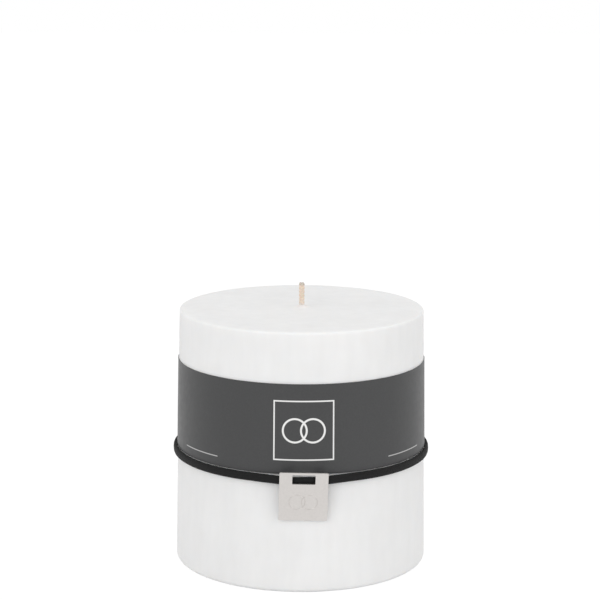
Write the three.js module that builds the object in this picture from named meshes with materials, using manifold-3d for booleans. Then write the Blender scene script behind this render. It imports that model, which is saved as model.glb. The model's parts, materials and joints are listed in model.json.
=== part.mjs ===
// Unity candle: a moulded wax pillar with its wick and sustainer, dressed with a printed card
// sleeve, an elastic band joined by a crimped ferrule, and a cast tag that hangs on the band.
// Millimetres, +Z up, the tag faces -Y. The origin is the centre of the flat base.
import * as THREE from "three";
import { mergeVertices } from "three/addons/utils/BufferGeometryUtils.js";
import Module from "manifold-3d";

const wasm = await Module();
wasm.setup();

// Wax pillar: a frustum, because the mould has draft.
const waxHeight = 103;
const waxBaseRadius = 50.7;
const waxTopRadius = 49;
const rimRound = 0.8;
const baseRound = 2;

// Wick and the tinned sustainer that holds its foot.
const wickDiameter = 2.4;
const wickAboveWax = 10.4;
const wickFit = 0.15;
const sustainerDiameter = 20;
const sustainerSheet = 0.4;
const sustainerNeckHeight = 6;
const sustainerNeckWall = 0.3;
const waxFit = 0.3;

// Card sleeve: one strip, wrapped round and overlapped at the back.
const cardThickness = 0.25;
const sleeveHeight = 35.2;
const sleeveFit = 0.15;
const seamOverlap = 12;
const seamRamp = 9;
const tapeThickness = 0.1;
const tapeWidth = 8;
const tapeInset = 1;

// Elastic band, just under the sleeve.
const bandBottom = 44.3;
const bandHeight = 3.3;
const bandDepth = 1.7;
const bandEdge = 0.8;
const bandFit = 0.3;
const bandEndGap = 0.4;
const bandLead = 2.6;
const bandPinch = 0.35;
const bandToSleeve = 0.3;

// Crimped ferrule over the band's two ends, at the back.
const ferruleLength = 11;
const ferruleWall = 0.25;
const ferruleFit = 0.1;
const ferruleEdge = 0.7;

// Tag: a plate with a window, and an eye behind it that rides on the band.
const tagWidth = 18.8;
const tagDrop = 16.3;
const tagRise = 4.15;
const tagThickness = 0.6;
const tagCorner = 0.4;
const windowWidth = 8.9;
const windowHeight = 3.9;
const windowCorner = 0.3;
const windowRise = 1.25;
const eyeLength = 13;
const eyeWall = 0.4;
const eyeFit = 0.25;
const tagFit = 0.3;
const tagTilt = THREE.MathUtils.degToRad(1.1);

const roundSteps = 96;
const bandSteps = 144;
const degree = Math.PI / 180;

const materials = {
  wax: standard("#ecebe8", 0.5, 0),
  cotton: standard("#ddccb0", 0.9, 0),
  tin: standard("#b9bbbd", 0.35, 1),
  card: standard("#565759", 0.45, 0),
  tape: standard("#e8e6de", 0.3, 0),
  elastic: standard("#1f1f20", 0.85, 0),
  steel: standard("#a9abad", 0.3, 1),
  zinc: standard("#d8d2ce", 0.38, 1),
};

function standard(color, roughness, metalness) {
  return new THREE.MeshStandardMaterial({ color, roughness, metalness });
}

// Values that follow from the ones above.
const draft = (waxBaseRadius - waxTopRadius) / waxHeight;
const bandMiddle = bandBottom + bandHeight / 2;
const sleeveBottom = bandBottom + bandHeight + bandToSleeve;
const bandRadius = waxRadius(bandBottom) + bandFit + bandDepth / 2;
// The elastic is squeezed lower where the eye and the ferrule hold it.
const pinchedHalf = bandHeight / 2 - bandPinch;
const bandCorner = Math.hypot(pinchedHalf, bandDepth / 2 - bandEdge);
const eyeInner = bandCorner + eyeFit;
const eyeOuter = eyeInner + eyeWall;
const pivotRadius = waxRadius(bandMiddle - eyeOuter) + tagFit + eyeOuter;
const ferruleReach = bandDepth / 2 + ferruleFit + ferruleWall;
const ferruleRadius = waxRadius(bandBottom) + bandFit + ferruleReach;

function waxRadius(z) {
  return waxBaseRadius - draft * z;
}

// Turns a profile of [radius, z] pairs round the Z axis.
function turned(profile, segments = roundSteps) {
  const points = profile.map(([r, z]) => new THREE.Vector2(r, z));
  return new THREE.LatheGeometry(points, segments).rotateX(Math.PI / 2);
}

// A quarter round from one [radius, z] direction to the next, angles in degrees.
function roundCorner(centreR, centreZ, radius, from, to, steps = 4) {
  const corner = [];
  for (let i = 0; i <= steps; i++) {
    const angle = (from + ((to - from) * i) / steps) * degree;
    corner.push([centreR + radius * Math.cos(angle), centreZ + radius * Math.sin(angle)]);
  }
  return corner;
}

function solid(geometry) {
  const bare = geometry.clone();
  bare.deleteAttribute("normal");
  bare.deleteAttribute("uv");
  const merged = mergeVertices(bare, 1e-4);
  const vertProperties = new Float32Array(merged.attributes.position.array);
  const triVerts = new Uint32Array(merged.index.array);
  return new wasm.Manifold(new wasm.Mesh({ numProp: 3, vertProperties, triVerts }));
}

function geometryOf(made) {
  const mesh = made.getMesh();
  const geometry = new THREE.BufferGeometry();
  geometry.setAttribute("position", new THREE.BufferAttribute(mesh.vertProperties, 3));
  geometry.setIndex(new THREE.BufferAttribute(mesh.triVerts, 1));
  return geometry;
}

function piece(name, geometry, material) {
  const mesh = new THREE.Mesh(geometry, material);
  mesh.name = name;
  return mesh;
}

// The pillar, with the wick's bore and the recess for the sustainer in its base.
function waxPillar() {
  const bore = wickDiameter / 2 + wickFit;
  const neck = bore + sustainerNeckWall + waxFit;
  const neckTop = sustainerNeckHeight + waxFit;
  const recess = sustainerDiameter / 2 + waxFit;
  const recessTop = sustainerSheet + waxFit;
  const draftAngle = Math.atan(draft) / degree;
  const profile = [
    [recess, 0],
    ...roundCorner(waxRadius(baseRound) - baseRound, baseRound, baseRound, -90, 0),
    ...roundCorner(
      waxRadius(waxHeight - rimRound) - rimRound,
      waxHeight - rimRound,
      rimRound,
      draftAngle,
      90,
    ),
    [bore, waxHeight],
    [bore, neckTop],
    [neck, neckTop],
    [neck, recessTop],
    [recess, recessTop],
    [recess, 0],
  ];
  return piece("wax_pillar", turned(profile), materials.wax);
}

// The wick stands in the sustainer's neck and comes out of the top.
function wick() {
  const radius = wickDiameter / 2;
  const foot = sustainerSheet + waxFit;
  const tip = waxHeight + wickAboveWax;
  const tipRound = radius * 0.6;
  const profile = [
    [0, foot],
    [radius, foot],
    ...roundCorner(radius - tipRound, tip - tipRound, tipRound, 0, 90, 3),
    [0, tip],
  ];
  return piece("wick", turned(profile, 16), materials.cotton);
}

// Flat disc, closed underneath, with a neck pressed up round the wick.
function wickSustainer() {
  const neckInner = wickDiameter / 2 + wickFit;
  const neckOuter = neckInner + sustainerNeckWall;
  const profile = [
    [0, 0],
    [sustainerDiameter / 2, 0],
    [sustainerDiameter / 2, sustainerSheet],
    [neckOuter, sustainerSheet],
    [neckOuter, sustainerNeckHeight],
    [neckInner, sustainerNeckHeight],
    [neckInner, sustainerSheet],
    [0, sustainerSheet],
  ];
  return piece("wick_sustainer", turned(profile, 48), materials.tin);
}

// A standing strip that follows the pillar's draft. Its inner face in plan is given at the
// sleeve's foot as polar [angle, radius] pairs, with angles in radians from +X.
function standingStrip(inner, thickness, bottom, top) {
  const at = (angle, radius) =>
    new THREE.Vector2(radius * Math.cos(angle), radius * Math.sin(angle));
  const outline = [
    ...inner.map(([angle, radius]) => at(angle, radius + thickness)),
    ...inner.map(([angle, radius]) => at(angle, radius)).reverse(),
  ];
  const geometry = new THREE.ExtrudeGeometry(new THREE.Shape(outline), {
    depth: top - bottom,
    bevelEnabled: false,
  });
  geometry.translate(0, 0, bottom);
  const position = geometry.attributes.position;
  for (let i = 0; i < position.count; i++) {
    const scale = waxRadius(position.getZ(i)) / waxRadius(sleeveBottom);
    position.setX(i, position.getX(i) * scale);
    position.setY(i, position.getY(i) * scale);
  }
  return geometry;
}

// The outer layer of the seam lies over the inner one, with the tape between them.
const seamRise = cardThickness + tapeThickness + 2 * sleeveFit;
const seamStep = (2 * Math.PI) / roundSteps;
const seamStart = Math.PI / 2 - Math.round(seamOverlap / 2 / waxBaseRadius / seamStep) * seamStep;

function paperSleeve() {
  const base = waxRadius(sleeveBottom) + sleeveFit;
  const overlapSteps = Math.round(seamOverlap / base / seamStep);
  const rampSteps = Math.round(seamRamp / base / seamStep);
  const strip = [];
  for (let i = 0; i <= roundSteps + overlapSteps; i++) {
    const rise = THREE.MathUtils.smoothstep(i, roundSteps - rampSteps - 1, roundSteps - 1);
    strip.push([seamStart + i * seamStep, base + rise * seamRise]);
  }
  const geometry = standingStrip(strip, cardThickness, sleeveBottom, sleeveBottom + sleeveHeight);
  return piece("paper_sleeve", geometry, materials.card);
}

function seamTape() {
  const base = waxRadius(sleeveBottom) + 2 * sleeveFit + cardThickness;
  const tapeSteps = Math.max(1, Math.round(tapeWidth / base / seamStep));
  const strip = [];
  for (let i = 0; i <= tapeSteps; i++) strip.push([seamStart + (i + 0.5) * seamStep, base]);
  const geometry = standingStrip(
    strip,
    tapeThickness,
    sleeveBottom + tapeInset,
    sleeveBottom + sleeveHeight - tapeInset,
  );
  return piece("seam_tape", geometry, materials.tape);
}

// The stretched band in plan: straight through the eye at the front and through the ferrule
// at the back, then off each straight's end to the pillar and round it. Away from the middle
// of a straight of half-length half at distance out, the radius at an angle is given by this.
function stretchedRadius(angle, out, half, around) {
  const straightEnd = Math.atan2(half, out);
  const touch = straightEnd + Math.acos(around / Math.hypot(out, half));
  const away = Math.abs(angle);
  if (away <= straightEnd) return out / Math.cos(away);
  if (away <= touch) return around / Math.cos(touch - away);
  return around;
}

// The turn is measured from the back, and the offset outwards from the band's middle line.
function bandPathRadius(turn, offset) {
  const fromBack = Math.min(turn, 2 * Math.PI - turn);
  const fromFront = Math.PI - turn;
  const eyeRun = eyeLength / 2 + bandLead;
  const ferruleRun = ferruleLength / 2 + bandLead;
  const around = bandRadius + offset;
  const front = stretchedRadius(fromFront, pivotRadius + offset, eyeRun, around);
  const back = stretchedRadius(fromBack, ferruleRadius + offset, ferruleRun, around);
  return Math.max(front, back);
}

// An oval cord, extruded straight and then bent onto its path, from one cut end to the other.
function elasticBand() {
  const section = roundedRectangle(bandDepth, bandHeight, bandEdge);
  const geometry = new THREE.ExtrudeGeometry(section, {
    depth: 1,
    steps: bandSteps,
    bevelEnabled: false,
    curveSegments: 3,
  });
  const endAngle = Math.asin(bandEndGap / 2 / ferruleRadius);
  const squeeze = pinchedHalf / (bandHeight / 2);
  const position = geometry.attributes.position;
  for (let i = 0; i < position.count; i++) {
    const turn = endAngle + position.getZ(i) * 2 * (Math.PI - endAngle);
    const radius = bandPathRadius(turn, position.getX(i));
    const x = radius * Math.sin(turn);
    const y = radius * Math.cos(turn);
    const held = Math.abs(x) <= (y < 0 ? eyeLength : ferruleLength) / 2 + bandLead;
    position.setXYZ(i, x, y, bandMiddle + position.getY(i) * (held ? squeeze : 1));
  }
  return piece("elastic_band", geometry, materials.elastic);
}

function roundedRectangle(width, height, radius) {
  const x = width / 2;
  const y = height / 2;
  const shape = new THREE.Shape();
  shape.moveTo(-x + radius, -y);
  shape.lineTo(x - radius, -y);
  shape.absarc(x - radius, -y + radius, radius, -Math.PI / 2, 0);
  shape.lineTo(x, y - radius);
  shape.absarc(x - radius, y - radius, radius, 0, Math.PI / 2);
  shape.lineTo(-x + radius, y);
  shape.absarc(-x + radius, y - radius, radius, Math.PI / 2, Math.PI);
  shape.lineTo(-x, -y + radius);
  shape.absarc(-x + radius, -y + radius, radius, Math.PI, 1.5 * Math.PI);
  return shape;
}

// A flattened tube over the band's two ends, its length along X.
function bandFerrule() {
  const high = 2 * (pinchedHalf + ferruleFit);
  const deep = bandDepth + 2 * ferruleFit;
  const wall = 2 * ferruleWall;
  const inner = roundedRectangle(high, deep, ferruleEdge - ferruleWall);
  const outer = roundedRectangle(high + wall, deep + wall, ferruleEdge);
  outer.holes.push(inner);
  const geometry = new THREE.ExtrudeGeometry(outer, {
    depth: ferruleLength,
    bevelEnabled: false,
    curveSegments: 4,
  });
  geometry.translate(0, 0, -ferruleLength / 2).rotateY(Math.PI / 2);
  const mesh = piece("band_ferrule", geometry, materials.steel);
  mesh.position.set(0, ferruleRadius, bandMiddle);
  return mesh;
}

// The tag about its eye's axis: X along the band, -Y to the front. The window is cut through
// the plate and the upper side of the eye, so that the band shows in it.
function tagSolid() {
  const plateHeight = tagDrop + tagRise;
  const plate = new THREE.ExtrudeGeometry(
    roundedRectangle(tagWidth, plateHeight, tagCorner),
    { depth: tagThickness, bevelEnabled: false, curveSegments: 4 },
  );
  plate.rotateX(Math.PI / 2).translate(0, -eyeInner, (tagRise - tagDrop) / 2);
  const eye = new THREE.CylinderGeometry(eyeOuter, eyeOuter, eyeLength, 32).rotateZ(Math.PI / 2);
  const boreLength = tagWidth + 2 * eyeWall;
  const bore = new THREE.CylinderGeometry(eyeInner, eyeInner, boreLength, 32);
  bore.rotateZ(Math.PI / 2);
  const window = new THREE.ExtrudeGeometry(
    roundedRectangle(windowWidth, windowHeight, windowCorner),
    { depth: 4 * eyeOuter, bevelEnabled: false, curveSegments: 4 },
  );
  window.rotateX(Math.PI / 2).translate(0, 2 * eyeOuter, windowRise);
  return solid(plate).add(solid(eye)).subtract(solid(bore)).subtract(solid(window));
}

// The lean at which the plate's foot lies tagFit off the wax: found by stepping it in.
function tagLean() {
  let lean = 0;
  const foot = () => {
    const inward = tagDrop * Math.sin(lean) - eyeInner * Math.cos(lean);
    const z = bandMiddle - tagDrop * Math.cos(lean);
    return pivotRadius - inward - waxRadius(z);
  };
  while (foot() > tagFit) lean += 0.001;
  return lean;
}

function tag() {
  const hanging = new THREE.Group();
  hanging.position.set(0, -pivotRadius, bandMiddle);
  hanging.rotation.x = tagLean();
  const mesh = piece("tag", geometryOf(tagSolid()), materials.zinc);
  mesh.rotation.y = tagTilt;
  hanging.add(mesh);
  return hanging;
}

const candle = new THREE.Group();
candle.add(waxPillar(), wick(), wickSustainer());
candle.add(paperSleeve(), seamTape());
candle.add(elasticBand(), bandFerrule(), tag());

export default candle;
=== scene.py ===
# Unity candle: wax pillar, braided wick, card sleeve, elastic band and hanging tag.
# Metres, +Z up, the tag faces -Y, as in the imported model.
import json
import math

import bmesh
import bpy
from mathutils import Matrix, Vector, noise


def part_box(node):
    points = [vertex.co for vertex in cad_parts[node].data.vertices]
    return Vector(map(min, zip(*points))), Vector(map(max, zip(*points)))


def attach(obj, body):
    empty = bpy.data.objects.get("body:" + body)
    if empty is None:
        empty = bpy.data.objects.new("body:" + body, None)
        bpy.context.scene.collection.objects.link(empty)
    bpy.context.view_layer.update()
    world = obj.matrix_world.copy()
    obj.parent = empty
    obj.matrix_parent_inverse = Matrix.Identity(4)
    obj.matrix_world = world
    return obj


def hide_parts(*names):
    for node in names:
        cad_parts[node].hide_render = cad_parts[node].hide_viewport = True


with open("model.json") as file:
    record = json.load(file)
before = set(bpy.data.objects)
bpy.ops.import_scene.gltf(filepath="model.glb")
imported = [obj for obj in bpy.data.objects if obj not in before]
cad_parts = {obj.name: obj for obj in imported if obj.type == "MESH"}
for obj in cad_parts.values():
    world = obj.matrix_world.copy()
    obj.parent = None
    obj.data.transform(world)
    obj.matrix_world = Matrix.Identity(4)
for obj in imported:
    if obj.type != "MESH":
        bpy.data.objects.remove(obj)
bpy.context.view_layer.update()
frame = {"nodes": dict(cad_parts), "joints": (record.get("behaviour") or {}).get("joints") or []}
mm = 0.001
fullTurn = 2 * math.pi
print("frame loaded")


# Small tools for meshes.
def makePiece(name, points, faces, materials, body, replaced=None, smooth=True):
    mesh = bpy.data.meshes.new(name)
    mesh.from_pydata(points, [], faces)
    return finishPiece(name, mesh, materials, body, replaced, smooth)


def finishPiece(name, mesh, materials, body, replaced=None, smooth=True):
    mesh.validate()
    bm = bmesh.new()
    bm.from_mesh(mesh)
    bmesh.ops.remove_doubles(bm, verts=bm.verts, dist=1e-7)
    bmesh.ops.recalc_face_normals(bm, faces=bm.faces)
    bm.to_mesh(mesh)
    bm.free()
    mesh.materials.clear()
    for material in materials:
        mesh.materials.append(material)
    mesh.shade_smooth() if smooth else mesh.shade_flat()
    if smooth:
        mesh.set_sharp_from_angle(angle=math.radians(38))
    piece = bpy.data.objects.new(name, mesh)
    bpy.context.scene.collection.objects.link(piece)
    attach(piece, body)
    if replaced:
        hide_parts(replaced)
    return piece


# Quads between neighbouring rows of a grid of points that closes both ways unless told.
def gridFaces(rows, columns, closeRows=True, closeColumns=True):
    faces = []
    for row in range(rows if closeRows else rows - 1):
        for column in range(columns if closeColumns else columns - 1):
            nextRow = (row + 1) % rows
            nextColumn = (column + 1) % columns
            faces.append((row * columns + column, row * columns + nextColumn,
                          nextRow * columns + nextColumn, nextRow * columns + column))
    return faces


# Part of a circle as (radius, height) pairs, angles in degrees.
def arc(centreR, centreZ, radius, start, end, steps=6):
    places = []
    for i in range(steps + 1):
        angle = math.radians(start + (end - start) * i / steps)
        places.append((centreR + radius * math.cos(angle), centreZ + radius * math.sin(angle)))
    return places


def stretch(start, end, steps):
    return [(start[0] + (end[0] - start[0]) * i / steps, start[1] + (end[1] - start[1]) * i / steps)
            for i in range(steps + 1)]


# Turns a closed (radius, height) outline round Z. shape may move each point.
def turned(outline, segments, shape=None):
    points = []
    for radius, height in outline:
        for i in range(segments):
            angle = fullTurn * i / segments
            point = Vector((radius * math.cos(angle), radius * math.sin(angle), height))
            points.append(shape(point) if shape else point)
    return points, gridFaces(len(outline), segments)


# Small tools for node trees.
class Nodes:
    def __init__(self, tree):
        self.tree = tree

    def add(self, kind, inputs=None, **settings):
        node = self.tree.nodes.new(kind)
        for key, value in settings.items():
            setattr(node, key, value)
        for key, value in (inputs or {}).items():
            self.put(node.inputs[key], value)
        return node

    def put(self, socket, value):
        if isinstance(value, bpy.types.NodeSocket):
            self.tree.links.new(value, socket)
        else:
            socket.default_value = value

    def math(self, operation, *values):
        node = self.tree.nodes.new("ShaderNodeMath")
        node.operation = operation
        for socket, value in zip(node.inputs, values):
            self.put(socket, value)
        return node.outputs[0]

    def ramp(self, value, low, high, toLow=0.0, toHigh=1.0):
        node = self.add("ShaderNodeMapRange", {"Value": value, "From Min": low, "From Max": high,
                                               "To Min": toLow, "To Max": toHigh})
        return node.outputs["Result"]

    def mix(self, factor, one, two):
        node = self.tree.nodes.new("ShaderNodeMix")
        node.data_type = "RGBA"
        self.put(node.inputs["Factor"], factor)
        self.put(node.inputs[6], one)
        self.put(node.inputs[7], two)
        return node.outputs[2]

    def noise(self, scale, detail=3.0, stretchBy=(1, 1, 1), roughness=0.5):
        place = self.add("ShaderNodeTexCoord").outputs["Object"]
        mapped = self.add("ShaderNodeMapping", {"Vector": place, "Scale": stretchBy})
        cloud = self.add("ShaderNodeTexNoise", {"Vector": mapped.outputs[0], "Scale": scale,
                                                "Detail": detail, "Roughness": roughness})
        return cloud.outputs["Fac"]

    def bump(self, height, strength, distance, under=None):
        inputs = {"Height": height, "Strength": strength, "Distance": distance}
        if under:
            inputs["Normal"] = under
        return self.add("ShaderNodeBump", inputs).outputs["Normal"]


def newMaterial(name, **sockets):
    material = bpy.data.materials.new(name)
    material.use_nodes = True
    nodes = Nodes(material.node_tree)
    shader = material.node_tree.nodes["Principled BSDF"]
    for key, value in sockets.items():
        shader.inputs[key].default_value = value
    return material, nodes, shader


def grey(level, alpha=1.0):
    return (level, level, level, alpha)


# Finishes.
def waxFinish():
    material, nodes, shader = newMaterial("candleWax", **{
        "IOR": 1.44, "Subsurface Weight": 0.3, "Subsurface Scale": 0.004,
        "Subsurface Radius": (1.0, 0.9, 0.8), "Specular IOR Level": 0.3})
    streaks = nodes.noise(230, 3, (1, 1, 0.22), 0.55)   # the mould leaves them upright
    clouds = nodes.noise(60, 3)
    mottle = nodes.math("ADD", nodes.math("MULTIPLY", streaks, 0.45), nodes.math("MULTIPLY", clouds, 0.55))
    colour = nodes.mix(nodes.ramp(mottle, 0.3, 0.7), (0.785, 0.783, 0.78, 1), (0.835, 0.834, 0.832, 1))
    place = nodes.add("ShaderNodeTexCoord").outputs["Object"]
    flat = nodes.add("ShaderNodeVectorMath", {0: place, 1: (1, 1, 0)}, operation="MULTIPLY").outputs[0]
    fromAxis = nodes.add("ShaderNodeVectorMath", {0: flat}, operation="LENGTH").outputs["Value"]
    thin = nodes.ramp(fromAxis, 3.6 * mm, 1.6 * mm)   # the cotton shows through the collar
    nodes.put(shader.inputs["Base Color"], nodes.mix(thin, colour, (0.88, 0.83, 0.8, 1)))
    nodes.put(shader.inputs["Roughness"], nodes.ramp(nodes.noise(900, 2), 0.3, 0.7, 0.5, 0.6))
    coarse = nodes.bump(streaks, 0.14, 0.0002)
    nodes.put(shader.inputs["Normal"], nodes.bump(nodes.noise(2500, 2), 0.12, 0.0001, coarse))
    return material


def cottonFinish():
    material, nodes, shader = newMaterial("waxedCotton", **{
        "Roughness": 0.62, "Sheen Weight": 0.15, "Subsurface Weight": 0.1, "Subsurface Scale": 0.001})
    fibres = nodes.noise(5200, 3, (1, 1, 0.35))
    place = nodes.add("ShaderNodeTexCoord").outputs["Object"]
    height = nodes.add("ShaderNodeSeparateXYZ", {"Vector": place}).outputs["Z"]
    tone = nodes.mix(nodes.ramp(fibres, 0.3, 0.72), (0.72, 0.54, 0.41, 1), (0.92, 0.81, 0.71, 1))
    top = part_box("wick")[1].z
    singed = nodes.ramp(height, top - 1.6 * mm, top - 0.2 * mm)
    tipped = nodes.mix(nodes.math("MULTIPLY", singed, 0.75), tone, (0.46, 0.43, 0.4, 1))
    foot = nodes.ramp(height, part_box("wax_pillar")[1].z + 2.6 * mm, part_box("wax_pillar")[1].z + 0.6 * mm)
    nodes.put(shader.inputs["Base Color"], nodes.mix(foot, tipped, (0.88, 0.82, 0.78, 1)))
    nodes.put(shader.inputs["Normal"], nodes.bump(fibres, 0.5, 0.0002))
    return material


def metalFinish(name, colour, roughness, grain, metallic=1.0):
    material, nodes, shader = newMaterial(name, **{"Metallic": metallic})
    cloud = nodes.noise(grain, 4, (1, 1, 1), 0.6)
    dark = tuple(channel * 0.93 for channel in colour) + (1,)
    nodes.put(shader.inputs["Base Color"], nodes.mix(nodes.ramp(cloud, 0.3, 0.7), dark, colour + (1,)))
    nodes.put(shader.inputs["Roughness"], nodes.ramp(cloud, 0.25, 0.75, roughness - 0.06, roughness + 0.06))
    nodes.put(shader.inputs["Normal"], nodes.bump(nodes.noise(grain * 4, 2), 0.15, 0.00005))
    return material


def elasticFinish():
    material, nodes, shader = newMaterial("braidedElastic", **{
        "Roughness": 0.75, "Sheen Weight": 0.05, "Sheen Roughness": 0.5, "Specular IOR Level": 0.2})
    flat = nodes.add("ShaderNodeUVMap", uv_map="bandMap").outputs["UV"]
    yarnCounts = (520, 14, 1)   # along the band, and round its section
    mapped = nodes.add("ShaderNodeMapping", {"Vector": flat, "Scale": yarnCounts}).outputs[0]
    yarns = nodes.add("ShaderNodeTexBrick", {
        "Vector": mapped, "Scale": 1.0, "Mortar Size": 0.09, "Mortar Smooth": 0.6,
        "Brick Width": 1.0, "Row Height": 1.0, "Color1": grey(0.013), "Color2": grey(0.009),
        "Mortar": grey(0.004)})
    nodes.put(shader.inputs["Base Color"], yarns.outputs["Color"])
    raised = nodes.math("SUBTRACT", 1.0, yarns.outputs["Fac"])
    nodes.put(shader.inputs["Normal"], nodes.bump(raised, 0.6, 0.0001))
    return material


sleeve = {
    "thickness": 0.25 * mm,
    "fit": 0.08 * mm,
    "footDrop": 0.2 * mm,
    "seamOverlap": 12 * mm,
    "seamRamp": 9 * mm,
    "tape": 0.1 * mm,
    "cadFit": 0.15 * mm,
    "steps": 360,             # round the pillar
    "rows": 28,
    "wave": 0.07 * mm,
    "squareSide": 23.6 * mm,
    "squareDrop": 0.6 * mm,
    "squareLine": 0.55 * mm,
    "ringRadius": 4.6 * mm,
    "ringOffset": 3.5 * mm,
    "ringLine": 0.75 * mm,
    "ruleLength": 21 * mm,
    "ruleLine": 0.36 * mm,
    "rulePlace": 46.8 * mm,
    "ruleHeight": 3.6 * mm,
}


# Distances along the sleeve from the front, and up from its foot, come from its own map.
def cardFinish(around, high):
    material, nodes, shader = newMaterial("coatedCard", **{
        "Roughness": 0.42, "Specular IOR Level": 0.4, "IOR": 1.5})
    flat = nodes.add("ShaderNodeUVMap", uv_map="sleeveMap").outputs["UV"]
    sized = nodes.add("ShaderNodeMapping", {"Vector": flat, "Location": (-around / 2, 0, 0),
                                            "Scale": (around, high, 1)}).outputs[0]
    split = nodes.add("ShaderNodeSeparateXYZ", {"Vector": sized})
    along, up = split.outputs["X"], split.outputs["Y"]
    middle = nodes.math("SUBTRACT", up, high / 2 - sleeve["squareDrop"])
    soft = 0.04 * mm

    def inked(distance, line):
        return nodes.ramp(nodes.math("ABSOLUTE", distance), line / 2 + soft, line / 2 - soft)

    # printed square
    reach = nodes.math("MAXIMUM", nodes.math("ABSOLUTE", along), nodes.math("ABSOLUTE", middle))
    square = inked(nodes.math("SUBTRACT", reach, (sleeve["squareSide"] - sleeve["squareLine"]) / 2),
                   sleeve["squareLine"])
    ink = square
    # two plain linked rings in it
    for side in (-1, 1):
        off = nodes.math("SUBTRACT", along, side * sleeve["ringOffset"])
        away = nodes.math("SQRT", nodes.math("ADD", nodes.math("MULTIPLY", off, off),
                                             nodes.math("MULTIPLY", middle, middle)))
        ring = inked(nodes.math("SUBTRACT", away, sleeve["ringRadius"]), sleeve["ringLine"])
        ink = nodes.math("MAXIMUM", ink, ring)
    # a fine plain rule low down on each side
    fromRule = nodes.math("SUBTRACT", nodes.math("ABSOLUTE", along), sleeve["rulePlace"])
    length = nodes.ramp(nodes.math("ABSOLUTE", fromRule), sleeve["ruleLength"] / 2 + soft,
                        sleeve["ruleLength"] / 2 - soft)
    rule = nodes.math("MULTIPLY", length, inked(nodes.math("SUBTRACT", up, sleeve["ruleHeight"]),
                                                sleeve["ruleLine"]))
    ink = nodes.math("MAXIMUM", ink, nodes.math("MULTIPLY", rule, 0.6))
    fleck = nodes.noise(1500, 2)
    coat = nodes.mix(nodes.ramp(fleck, 0.3, 0.7), (0.047, 0.0475, 0.0485, 1), (0.053, 0.0535, 0.0545, 1))
    nodes.put(shader.inputs["Base Color"], nodes.mix(ink, coat, (0.78, 0.78, 0.77, 1)))
    nodes.put(shader.inputs["Roughness"], nodes.ramp(nodes.noise(420, 3), 0.3, 0.7, 0.4, 0.46))
    nodes.put(shader.inputs["Normal"], nodes.bump(fleck, 0.05, 0.0001))
    return material


def plainFinish(name, colour, roughness, grain):
    material, nodes, shader = newMaterial(name, **{"Roughness": roughness})
    cloud = nodes.noise(grain, 3)
    dark = tuple(channel * 0.94 for channel in colour) + (1,)
    nodes.put(shader.inputs["Base Color"], nodes.mix(nodes.ramp(cloud, 0.3, 0.7), dark, colour + (1,)))
    nodes.put(shader.inputs["Normal"], nodes.bump(cloud, 0.1, 0.0001))
    return material


# Wax pillar.
waxLow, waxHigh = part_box("wax_pillar")
wax = {
    "baseRadius": 50.7 * mm,
    "topRadius": 49.0 * mm,
    "height": waxHigh.z,
    "rimRound": 0.9 * mm,
    "baseRound": 2.0 * mm,
    "bore": 1.1 * mm,
    "collarHeight": 1.4 * mm,
    "collarSpread": 1.3 * mm,
    "dish": 0.25 * mm,
    "ripple": 0.05 * mm,
    "segments": 256,
    "sideRows": 60,
    "topRings": 26,
    "recess": 10.2 * mm,
    "recessDepth": 0.6 * mm,
    "neck": 1.9 * mm,
    "neckDepth": 6.2 * mm,
}


def waxRadius(height):
    return wax["baseRadius"] - (wax["baseRadius"] - wax["topRadius"]) * height / wax["height"]


def shapeWax(point):
    radius = math.hypot(point.x, point.y)
    height = point.z
    if height > wax["height"] - 0.01 * mm and radius > wax["bore"] * 0.9:
        fromWick = radius - wax["bore"]
        climb = wax["collarHeight"] * math.exp(-fromWick / wax["collarSpread"])
        sink = wax["dish"] * math.sin(math.pi * min(1, radius / wax["topRadius"])) ** 2
        swell = 0.06 * mm * noise.noise(Vector((point.x, point.y, 0)) * 90)
        return Vector((point.x, point.y, height + climb - sink + swell))
    if radius > wax["topRadius"] * 0.95 and height > wax["baseRound"]:
        way = Vector((point.x, point.y, 0)).normalized()
        upright = noise.noise(Vector((way.x * 9, way.y * 9, height * 30)))
        broad = noise.noise(Vector((way.x * 2, way.y * 2, height * 12 + 4)))
        return point + way * wax["ripple"] * (0.5 * upright + 0.8 * broad)
    return point


def waxPillar():
    top, rim, foot = wax["height"], wax["rimRound"], wax["baseRound"]
    footR, rimR = waxRadius(foot) - foot, waxRadius(top - rim) - rim
    outline = stretch((wax["recess"], 0), (footR, 0), 6)
    outline += arc(footR, foot, foot, -90, 0, 8)[1:]
    outline += stretch((waxRadius(foot), foot), (waxRadius(top - rim), top - rim),
                       wax["sideRows"])[1:]
    outline += arc(rimR, top - rim, rim, 0, 90, 8)[1:]
    rings = wax["topRings"]
    for i in range(1, rings + 1):   # closer together towards the wick
        share = (1 - i / rings) ** 1.8
        outline.append((wax["bore"] + (rimR - wax["bore"]) * share, top))
    outline += [(wax["bore"], wax["neckDepth"]), (wax["neck"], wax["neckDepth"]),
                (wax["neck"], wax["recessDepth"]), (wax["recess"], wax["recessDepth"])]
    points, faces = turned(outline, wax["segments"], shapeWax)
    makePiece("waxPillar", points, faces, [waxFinish()], "candle", "wax_pillar")


waxPillar()
print("wax pillar made")


# Wick: eight strands braided round a core.
wickLow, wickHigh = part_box("wick")
wick = {
    "strands": 4,             # each way round
    "braidRadius": 0.72 * mm,
    "weave": 0.14 * mm,
    "strandRadius": 0.34 * mm,
    "pitch": 5.8 * mm,
    "coreRadius": 0.72 * mm,
    "stepsPerTurn": 30,
}


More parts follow.
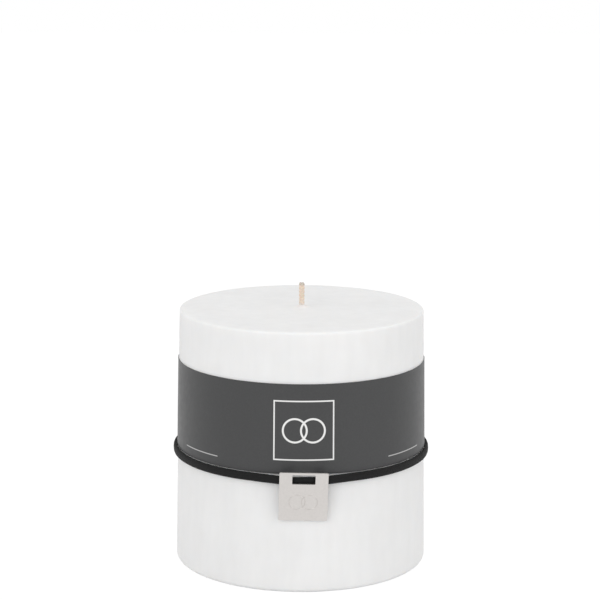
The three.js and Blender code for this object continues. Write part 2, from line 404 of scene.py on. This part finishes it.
def braidTree(material):
    tree = bpy.data.node_groups.new("braidedCord", "GeometryNodeTree")
    tree.interface.new_socket("Geometry", in_out="OUTPUT", socket_type="NodeSocketGeometry")
    sizes = {"Length": 0.1, "Turns": 20.0, "Braid Radius": 0.001, "Weave": 0.0001,
             "Strand Radius": 0.0003, "Strands": 4}
    for name, value in sizes.items():
        kind = "NodeSocketInt" if isinstance(value, int) else "NodeSocketFloat"
        tree.interface.new_socket(name, in_out="INPUT", socket_type=kind).default_value = value
    nodes = Nodes(tree)
    given = nodes.add("NodeGroupInput").outputs
    joined = nodes.add("GeometryNodeJoinGeometry")
    top = nodes.add("ShaderNodeCombineXYZ", {"Z": given["Length"]}).outputs[0]
    count = nodes.math("MULTIPLY", given["Turns"], float(wick["stepsPerTurn"]))
    line = nodes.add("GeometryNodeCurvePrimitiveLine", {"End": top}).outputs[0]
    fine = nodes.add("GeometryNodeResampleCurve", {"Curve": line, "Count": count}).outputs[0]
    share = nodes.add("GeometryNodeSplineParameter").outputs["Factor"]
    around = nodes.math("MULTIPLY", nodes.math("MULTIPLY", share, given["Turns"]), fullTurn)
    ring = nodes.add("GeometryNodeCurvePrimitiveCircle",
                     {"Resolution": 7, "Radius": given["Strand Radius"]}).outputs[0]
    for way in (1, -1):
        # a strand goes over and under the ones that run the other way
        lift = nodes.math("COSINE", nodes.math("MULTIPLY", around, float(wick["strands"])))
        radius = nodes.math("ADD", given["Braid Radius"],
                            nodes.math("MULTIPLY", nodes.math("MULTIPLY", lift, given["Weave"]), float(way)))
        turn = nodes.math("MULTIPLY", around, float(way))
        place = nodes.add("ShaderNodeCombineXYZ", {
            "X": nodes.math("MULTIPLY", radius, nodes.math("COSINE", turn)),
            "Y": nodes.math("MULTIPLY", radius, nodes.math("SINE", turn)),
            "Z": nodes.math("MULTIPLY", share, given["Length"])}).outputs[0]
        bent = nodes.add("GeometryNodeSetPosition", {"Geometry": fine, "Position": place}).outputs[0]
        strand = nodes.add("GeometryNodeCurveToMesh",
                           {"Curve": bent, "Profile Curve": ring, "Fill Caps": True}).outputs[0]
        starts = nodes.add("GeometryNodePoints", {"Count": given["Strands"]}).outputs[0]
        step = nodes.math("DIVIDE", fullTurn, given["Strands"])
        spin = nodes.math("MULTIPLY", nodes.add("GeometryNodeInputIndex").outputs[0], step)
        turnedBy = nodes.add("ShaderNodeCombineXYZ", {"Z": spin}).outputs[0]
        copies = nodes.add("GeometryNodeInstanceOnPoints",
                           {"Points": starts, "Instance": strand, "Rotation": turnedBy}).outputs[0]
        tree.links.new(copies, joined.inputs[0])
    real = nodes.add("GeometryNodeRealizeInstances", {"Geometry": joined.outputs[0]}).outputs[0]
    dressed = nodes.add("GeometryNodeSetMaterial", {"Geometry": real, "Material": material}).outputs[0]
    nodes.add("NodeGroupOutput", {"Geometry": dressed})
    return tree


# Runs a tree on an empty carrier and gives back the plain mesh it makes.
def grown(name, tree, values):
    carrier = bpy.data.objects.new(name + "Carrier", bpy.data.meshes.new(name + "Carrier"))
    bpy.context.scene.collection.objects.link(carrier)
    modifier = carrier.modifiers.new("grow", "NODES")
    modifier.node_group = tree
    for item in tree.interface.items_tree:
        if item.in_out == "INPUT" and item.name in values:
            modifier[item.identifier] = values[item.name]
    depsgraph = bpy.context.evaluated_depsgraph_get()
    depsgraph.update()
    mesh = bpy.data.meshes.new_from_object(carrier.evaluated_get(depsgraph))
    bpy.data.objects.remove(carrier)
    return mesh


def wickPiece():
    cotton = cottonFinish()
    length = wickHigh.z - wickLow.z - wick["strandRadius"]
    mesh = grown("wick", braidTree(cotton), {
        "Length": length, "Turns": length / wick["pitch"], "Braid Radius": wick["braidRadius"],
        "Weave": wick["weave"], "Strand Radius": wick["strandRadius"], "Strands": wick["strands"]})
    mesh.transform(Matrix.Translation((0, 0, wickLow.z)))
    finishPiece("wickBraid", mesh, [cotton], "candle", "wick")
    top, low, radius = wickHigh.z - 0.5 * mm, wickLow.z, wick["coreRadius"]
    outline = [(radius * 0.02, low), (radius, low), (radius, top - radius * 0.4)]
    outline += arc(radius * 0.6, top - radius * 0.4, radius * 0.4, 0, 90, 4)[1:] + [(radius * 0.02, top)]
    points, faces = turned(outline, 16)
    makePiece("wickCore", points, faces, [cotton], "candle")


wickPiece()
print("wick braided")


# Sustainer under the base.
sustainer = {
    "radius": 10 * mm,
    "sheet": 0.4 * mm,
    "neckOuter": 1.65 * mm,
    "neckInner": 1.35 * mm,
    "neckTop": 6 * mm,
    "edge": 0.12 * mm,
    "ribRadius": 6 * mm,
    "ribHeight": 0.2 * mm,
}


def sustainerPiece():
    sheet, edge, high = sustainer["sheet"], sustainer["edge"], sustainer["neckTop"]
    outer, inner, rim = sustainer["neckOuter"], sustainer["neckInner"], sustainer["radius"]
    outline = [(0.01 * mm, 0), (rim - edge, 0)] + arc(rim - edge, edge, edge, -90, 0, 3)[1:]
    outline += arc(rim - edge, sheet - edge, edge, 0, 90, 3)
    for i in range(9):   # a low pressed ring stiffens the disc
        share = i / 8
        outline.append((sustainer["ribRadius"] + (0.5 - share) * 1.6 * mm,
                        sheet + sustainer["ribHeight"] * math.sin(math.pi * share) ** 2))
    outline += arc(outer + 0.5 * mm, sheet + 0.5 * mm, 0.5 * mm, -90, -180, 5)
    outline += [(outer, high), (inner, high), (inner, sheet), (0.01 * mm, sheet)]
    points, faces = turned(outline, 96)
    tin = metalFinish("tinplate", (0.62, 0.63, 0.64), 0.3, 700)
    makePiece("wickSustainer", points, faces, [tin], "candle", "wick_sustainer")


sustainerPiece()
print("sustainer pressed")


# Card sleeve, wrapped and overlapped at the back.
sleeveLow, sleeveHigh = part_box("paper_sleeve")


def sleevePiece():
    high = sleeveHigh.z - sleeveLow.z
    steps, rows = sleeve["steps"], sleeve["rows"]
    base = waxRadius(sleeveLow.z) + sleeve["fit"]
    stepAngle = fullTurn / steps
    overlap = round(sleeve["seamOverlap"] / base / stepAngle)
    ramp = sleeve["seamRamp"] / base / stepAngle
    rise = sleeve["thickness"] + sleeve["tape"] + 2 * sleeve["cadFit"]
    start = math.pi / 2 - overlap / 2 * stepAngle
    count = steps + overlap + 1
    around = fullTurn * base
    rings = []   # outer face going up, then inner face going down
    for layer, order in ((sleeve["thickness"], range(rows + 1)), (0, range(rows, -1, -1))):
        for row in order:
            height = sleeveLow.z + high * row / rows
            height -= sleeve["footDrop"] * (1 - row / rows) ** 4
            scale = waxRadius(height) / waxRadius(sleeveLow.z)
            ring = []
            for i in range(count):
                share = min(1, max(0, (i - (steps - ramp - 1)) / ramp))
                lift = rise * share * share * (3 - 2 * share)
                angle = start + i * stepAngle
                toEdge = abs(2 * row / rows - 1) ** 3
                wave = noise.noise(Vector((math.cos(angle) * 3, math.sin(angle) * 3, height * 25)))
                radius = (base + lift + layer) * scale + wave * toEdge * sleeve["wave"]
                ring.append(Vector((radius * math.cos(angle), radius * math.sin(angle), height)))
            rings.append(ring)
    points = [point for ring in rings for point in ring]
    faces = gridFaces(len(rings), count, True, False)
    for side in (0, count - 1):   # the strip's two upright ends
        for row in range(rows):
            outerA, outerB = row * count + side, (row + 1) * count + side
            innerA, innerB = (2 * rows + 1 - row) * count + side, (2 * rows - row) * count + side
            faces.append((outerA, outerB, innerB, innerA))
    core = plainFinish("cardCore", (0.72, 0.71, 0.69), 0.75, 3000)
    mesh = bpy.data.meshes.new("paperSleeve")
    mesh.from_pydata(points, [], faces)
    flat = mesh.uv_layers.new(name="sleeveMap")
    for polygon in mesh.polygons:
        for corner in polygon.loop_indices:
            index = mesh.loops[corner].vertex_index
            angle = start + (index % count) * stepAngle
            along = (angle - 1.5 * math.pi) / fullTurn   # turns from the front, to +X
            flat.data[corner].uv = (along + 0.5, (points[index].z - sleeveLow.z) / high)
    piece = finishPiece("paperSleeve", mesh, [cardFinish(around, high), core], "sleeve",
                        "paper_sleeve")
    for polygon in piece.data.polygons:
        row = polygon.index // (count - 1)
        polygon.material_index = 1 if rows < row <= 2 * rows else 0   # bare card inside


sleevePiece()
tape = plainFinish("seamTape", (0.78, 0.76, 0.7), 0.3, 1500)
tapeNode = frame["nodes"]["seam_tape"]
tapeNode.data.materials.clear()
tapeNode.data.materials.append(tape)
print("sleeve wrapped")


# Elastic band.
bandLow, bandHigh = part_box("elastic_band")
tagPivot = Vector([joint for joint in frame["joints"] if joint["name"] == "tag_swing"][0]["pos_m"])
ferruleLow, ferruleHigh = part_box("band_ferrule")
band = {
    "height": bandHigh.z - bandLow.z,
    "depth": 1.7 * mm,
    "fit": 0.12 * mm,
    "frontOut": -tagPivot.y,
    "frontHalf": 8.5 * mm,
    "backOut": (ferruleLow.y + ferruleHigh.y) / 2,
    "backHalf": 7.5 * mm,
    "endGap": 0.4 * mm,
    "squeeze": 0.788,        # its height where it is held, as a share of its free height
    "eyeHalf": 6.6 * mm,
    "ferruleHalf": 5.6 * mm,
    "easing": 1.6 * mm,
    "ribs": 14,
    "ribDepth": 0.035,
    "steps": 900,
    "easings": 40,
}


def stretchedRadius(angle, out, half, around):
    straightEnd = math.atan2(half, out)
    touch = straightEnd + math.acos(around / math.hypot(out, half))
    away = abs(angle)
    if away <= straightEnd:
        return out / math.cos(away)
    if away <= touch:
        return around / math.cos(touch - away)
    return around


def bandPath():
    around = waxRadius(bandLow.z) + band["fit"] + band["depth"] / 2
    middle = (bandLow.z + bandHigh.z) / 2
    endAngle = band["endGap"] / 2 / band["backOut"]
    places = []
    for i in range(band["steps"] + 1):
        turn = endAngle + (fullTurn - 2 * endAngle) * i / band["steps"]
        front = stretchedRadius(math.pi - turn, band["frontOut"], band["frontHalf"], around)
        back = stretchedRadius(min(turn, fullTurn - turn), band["backOut"], band["backHalf"], around)
        radius = max(front, back)
        places.append(Vector((radius * math.sin(turn), radius * math.cos(turn), middle)))
    for _ in range(band["easings"]):   # eases the corners, as elastic bends
        inner = [(a + 2 * b + c) / 4 for a, b, c in zip(places, places[1:], places[2:])]
        places = [places[0]] + inner + [places[-1]]
    return places


# Sweeps a ribbed flat oval along the path that the carrier's edges give.
def bandTree(material):
    tree = bpy.data.node_groups.new("ribbedBand", "GeometryNodeTree")
    tree.interface.new_socket("Geometry", in_out="OUTPUT", socket_type="NodeSocketGeometry")
    tree.interface.new_socket("Geometry", in_out="INPUT", socket_type="NodeSocketGeometry")
    sizes = {"Height": 0.003, "Depth": 0.002, "Ribs": 12.0, "Rib Depth": 0.03}
    for name, value in sizes.items():
        tree.interface.new_socket(name, in_out="INPUT", socket_type="NodeSocketFloat").default_value = value
    nodes = Nodes(tree)
    given = nodes.add("NodeGroupInput").outputs
    path = nodes.add("GeometryNodeMeshToCurve", {"Mesh": given["Geometry"]}).outputs[0]
    upright = nodes.add("GeometryNodeSetCurveNormal", {"Curve": path})
    if "Mode" in upright.inputs:
        upright.inputs["Mode"].default_value = "Z Up"
    else:
        upright.mode = "Z_UP"
    circle = nodes.add("GeometryNodeCurvePrimitiveCircle", {"Resolution": 84, "Radius": 1.0}).outputs[0]
    share = nodes.add("GeometryNodeSplineParameter").outputs["Factor"]
    angle = nodes.math("MULTIPLY", share, fullTurn)
    rib = nodes.math("MULTIPLY", nodes.math("COSINE", nodes.math("MULTIPLY", angle, given["Ribs"])),
                     given["Rib Depth"])
    grow = nodes.math("ADD", 1.0, nodes.math("SUBTRACT", rib, given["Rib Depth"]))

    def squared(value):   # a fuller curve than an ellipse
        bent = nodes.math("POWER", nodes.math("ABSOLUTE", value), 0.72)
        return nodes.math("MULTIPLY", nodes.math("SIGN", value), bent)

    wide = nodes.math("MULTIPLY", nodes.math("MULTIPLY", squared(nodes.math("COSINE", angle)), grow),
                      nodes.math("MULTIPLY", given["Depth"], 0.5))
    tall = nodes.math("MULTIPLY", nodes.math("MULTIPLY", squared(nodes.math("SINE", angle)), grow),
                      nodes.math("MULTIPLY", given["Height"], 0.5))
    section = nodes.add("ShaderNodeCombineXYZ", {"X": wide, "Y": tall}).outputs[0]
    oval = nodes.add("GeometryNodeSetPosition", {"Geometry": circle, "Position": section}).outputs[0]
    swept = nodes.add("GeometryNodeCurveToMesh", {"Curve": upright.outputs[0], "Profile Curve": oval,
                                                  "Fill Caps": True}).outputs[0]
    real = nodes.add("GeometryNodeRealizeInstances", {"Geometry": swept}).outputs[0]
    dressed = nodes.add("GeometryNodeSetMaterial", {"Geometry": real, "Material": material}).outputs[0]
    nodes.add("NodeGroupOutput", {"Geometry": dressed})
    return tree


def bandPiece():
    places = bandPath()
    elastic = elasticFinish()
    path = bpy.data.meshes.new("bandPath")
    path.from_pydata(places, [(i, i + 1) for i in range(len(places) - 1)], [])
    carrier = bpy.data.objects.new("bandCarrier", path)
    bpy.context.scene.collection.objects.link(carrier)
    modifier = carrier.modifiers.new("sweep", "NODES")
    tree = bandTree(elastic)
    modifier.node_group = tree
    values = {"Height": band["height"], "Depth": band["depth"], "Ribs": float(band["ribs"]),
              "Rib Depth": band["ribDepth"]}
    for item in tree.interface.items_tree:
        if item.in_out == "INPUT" and item.name in values:
            modifier[item.identifier] = values[item.name]
    depsgraph = bpy.context.evaluated_depsgraph_get()
    depsgraph.update()
    mesh = bpy.data.meshes.new_from_object(carrier.evaluated_get(depsgraph))
    bpy.data.objects.remove(carrier)
    squeezeBand(mesh)
    piece = finishPiece("elasticBand", mesh, [elastic], "band", "elastic_band")
    mapBand(piece.data)


# The band is lower inside the tag's eye and inside the ferrule.
def squeezeBand(mesh):
    middle = (bandLow.z + bandHigh.z) / 2
    for vertex in mesh.vertices:
        half = band["eyeHalf"] if vertex.co.y < 0 else band["ferruleHalf"]
        clear = min(1, max(0, (abs(vertex.co.x) - half) / band["easing"]))
        free = clear * clear * (3 - 2 * clear)
        vertex.co.z = middle + (vertex.co.z - middle) * (band["squeeze"] + (1 - band["squeeze"]) * free)


# The map runs once along the band, and once round its section.
def mapBand(mesh):
    flat = mesh.uv_layers.new(name="bandMap")
    middle = (bandLow.z + bandHigh.z) / 2
    around = waxRadius(bandLow.z) + band["fit"] + band["depth"] / 2
    for polygon in mesh.polygons:
        turns, rounds = [], []
        for corner in polygon.loop_indices:
            place = mesh.vertices[mesh.loops[corner].vertex_index].co
            turns.append((math.atan2(place.x, place.y) / fullTurn) % 1)
            out = math.hypot(place.x, place.y) - around
            rounds.append(0.5 + 0.5 * (place.z - middle) / (band["height"] / 2) * (0.5 if out > 0 else -0.5))
        if max(turns) - min(turns) > 0.5:
            turns = [turn + 1 if turn < 0.5 else turn for turn in turns]
        for corner, turn, level in zip(polygon.loop_indices, turns, rounds):
            flat.data[corner].uv = (turn, level)


bandPiece()
print("band swept")


# Ferrule: a flattened tube with a crimped waist.
ferrule = {
    "wall": 0.25 * mm,
    "lip": 0.12 * mm,
    "pinch": 0.12 * mm,
    "pinchPlaces": (0.3, 0.7),   # as shares of its length
    "pinchWidth": 0.6 * mm,
    "rows": 40,
    "points": 64,
}


def ovalPoint(angle, halfTall, halfDeep, fullness=0.5):
    across, up = math.cos(angle), math.sin(angle)
    return (math.copysign(abs(across) ** fullness, across) * halfDeep,
            math.copysign(abs(up) ** fullness, up) * halfTall)


def ferrulePiece():
    size = ferruleHigh - ferruleLow
    centre = (ferruleHigh + ferruleLow) / 2
    points = []
    count, rows, wall = ferrule["points"], ferrule["rows"], ferrule["wall"]
    for inward, order in ((0, range(rows + 1)), (wall, range(rows, -1, -1))):
        for row in order:
            share = row / rows
            fromEnd = min(share, 1 - share) * size.x
            lip = ferrule["lip"] * max(0, 1 - fromEnd / (0.25 * mm)) ** 2 if inward == 0 else 0
            pinch = sum(math.exp(-((share - spot) * size.x / ferrule["pinchWidth"]) ** 2)
                        for spot in ferrule["pinchPlaces"])
            for i in range(count):
                angle = fullTurn * i / count
                deep, tall = ovalPoint(angle, size.z / 2 - inward - lip,
                                       size.y / 2 - inward - lip - pinch * ferrule["pinch"] * 0.8)
                points.append(centre + Vector(((share - 0.5) * size.x, deep, tall)))
    faces = gridFaces(2 * (rows + 1), count)
    steel = metalFinish("crimpedSteel", (0.56, 0.565, 0.57), 0.28, 900)
    makePiece("bandFerrule", points, faces, [steel], "band", "band_ferrule")


ferrulePiece()
print("ferrule crimped")


# Tag.
tag = {
    "lean": math.radians(11.52),
    "tilt": math.radians(1.1),
    "face": 2.151 * mm,      # from the pivot to the plate's front
    "edge": 0.1 * mm,
    "emblemDrop": 8.4 * mm,
    "emblemRadius": 3.1 * mm,
    "emblemOffset": 2.4 * mm,
    "emblemWire": 0.3 * mm,
    "emblemSink": 0.16 * mm,
}


def tagPiece():
    zinc = metalFinish("castZinc", (0.7, 0.672, 0.65), 0.4, 1100)
    bm = bmesh.new()
    bm.from_mesh(frame["nodes"]["tag"].data)
    bmesh.ops.remove_doubles(bm, verts=bm.verts, dist=1e-7)
    bmesh.ops.dissolve_limit(bm, angle_limit=math.radians(1), verts=bm.verts, edges=bm.edges)
    sharp = [edge for edge in bm.edges if edge.is_manifold and edge.calc_face_angle(0) > math.radians(50)]
    bmesh.ops.bevel(bm, geom=sharp, offset=tag["edge"], segments=3, profile=0.5, affect="EDGES",
                    clamp_overlap=True)
    mesh = bpy.data.meshes.new("tag")
    bm.to_mesh(mesh)
    bm.free()
    finishPiece("tagPlate", mesh, [zinc], "tag", "tag")
    emblem(zinc)


# Two plain linked rings stand a little proud of the plate.
def emblem(material):
    points, faces = [], []
    rounds, wires = 72, 14
    for side in (-1, 1):
        first = len(points)
        for i in range(rounds):
            angle = fullTurn * i / rounds
            for j in range(wires):
                wire = fullTurn * j / wires
                radius = tag["emblemRadius"] + tag["emblemWire"] / 2 * math.cos(wire)
                points.append(Vector((side * tag["emblemOffset"] + radius * math.cos(angle),
                                      -(tag["face"] - tag["emblemSink"] + tag["emblemWire"] * math.sin(wire)),
                                      -tag["emblemDrop"] + radius * math.sin(angle))))
        faces += [tuple(first + index for index in face) for face in gridFaces(rounds, wires)]
    place = (Matrix.Translation(tagPivot) @ Matrix.Rotation(tag["lean"], 4, "X")
             @ Matrix.Rotation(tag["tilt"], 4, "Y"))
    makePiece("tagEmblem", [place @ point for point in points], faces, [material], "tag")


tagPiece()
print("tag cast")


# Floor, light and camera.
studio = {
    "floorSize": 6.0,
    "floorGlow": 0.9,
    "floorWhite": 1.06,
    "world": 0.73,
    "keyPower": 3.9,
    "fillPower": 2.7,
    "topPower": 2.1,
}


def addFloor():
    material = bpy.data.materials.new("paleFloor")
    material.use_nodes = True
    nodes = Nodes(material.node_tree)
    material.node_tree.nodes.clear()
    path = nodes.add("ShaderNodeLightPath").outputs
    seen = nodes.math("MAXIMUM", path["Is Camera Ray"],
                      nodes.math("MAXIMUM", path["Is Glossy Ray"], path["Is Transmission Ray"]))
    matt = nodes.add("ShaderNodeBsdfDiffuse", {"Color": grey(0.9)}).outputs[0]
    white = nodes.add("ShaderNodeEmission", {"Color": grey(1.0), "Strength": studio["floorWhite"]}).outputs[0]
    share = nodes.math("MULTIPLY", seen, studio["floorGlow"])
    both = nodes.add("ShaderNodeMixShader", {0: share, 1: matt, 2: white}).outputs[0]
    nodes.add("ShaderNodeOutputMaterial", {"Surface": both})
    half = studio["floorSize"] / 2
    mesh = bpy.data.meshes.new("floor")
    mesh.from_pydata([(-half, -half, 0), (half, -half, 0), (half, half, 0), (-half, half, 0)], [],
                     [(0, 1, 2, 3)])
    mesh.materials.append(material)
    floor = bpy.data.objects.new("floor", mesh)
    bpy.context.scene.collection.objects.link(floor)


def addWorld():
    world = bpy.data.worlds.new("studio")
    bpy.context.scene.world = world
    world.use_nodes = True
    nodes = Nodes(world.node_tree)
    world.node_tree.nodes.clear()
    path = nodes.add("ShaderNodeLightPath").outputs
    seen = path["Is Camera Ray"]
    soft = nodes.add("ShaderNodeBackground", {"Color": grey(1.0), "Strength": studio["world"]}).outputs[0]
    white = nodes.add("ShaderNodeBackground", {"Color": grey(1.0), "Strength": 1.0}).outputs[0]
    both = nodes.add("ShaderNodeMixShader", {0: seen, 1: soft, 2: white}).outputs[0]
    nodes.add("ShaderNodeOutputWorld", {"Surface": both})


def addLamp(name, place, aim, size, power):
    lamp = bpy.data.lights.new(name, "AREA")
    lamp.shape = "RECTANGLE"
    lamp.size, lamp.size_y = size
    lamp.energy = power
    holder = bpy.data.objects.new(name, lamp)
    holder.location = place
    holder.rotation_euler = (Vector(aim) - Vector(place)).to_track_quat("-Z", "Y").to_euler()
    bpy.context.scene.collection.objects.link(holder)


def addLights():
    middle = (0, 0, 0.05)
    addLamp("keyBox", (-0.7, -0.9, 0.7), middle, (0.7, 0.9), studio["keyPower"])
    addLamp("fillBox", (0.9, -0.7, 0.5), middle, (0.6, 0.9), studio["fillPower"])
    addLamp("topBox", (0, 0.1, 1.2), middle, (0.9, 0.9), studio["topPower"])


view = {
    "distance": 0.8355,
    "height": 0.2716,
    "around": math.radians(-1.27),
    "pitch": 0.1956,
    "heading": 0.00083,
    "roll": 0.0055,
    "lens": 127.15,
}


def addCamera():
    camera = bpy.data.cameras.new("camera")
    camera.lens = view["lens"]
    camera.sensor_width = 36
    camera.clip_start, camera.clip_end = 0.01, 20
    holder = bpy.data.objects.new("camera", camera)
    around = view["around"]
    holder.matrix_world = (
        Matrix.Translation((view["distance"] * math.sin(around), -view["distance"] * math.cos(around),
                            view["height"]))
        @ Matrix.Rotation(around + view["heading"], 4, "Z")
        @ Matrix.Rotation(math.pi / 2 - view["pitch"], 4, "X")
        @ Matrix.Rotation(view["roll"], 4, "Z"))
    bpy.context.scene.collection.objects.link(holder)
    bpy.context.scene.camera = holder


addFloor()
addWorld()
addLights()
addCamera()
bpy.context.scene.view_settings.view_transform = "Standard"
print("studio lit")
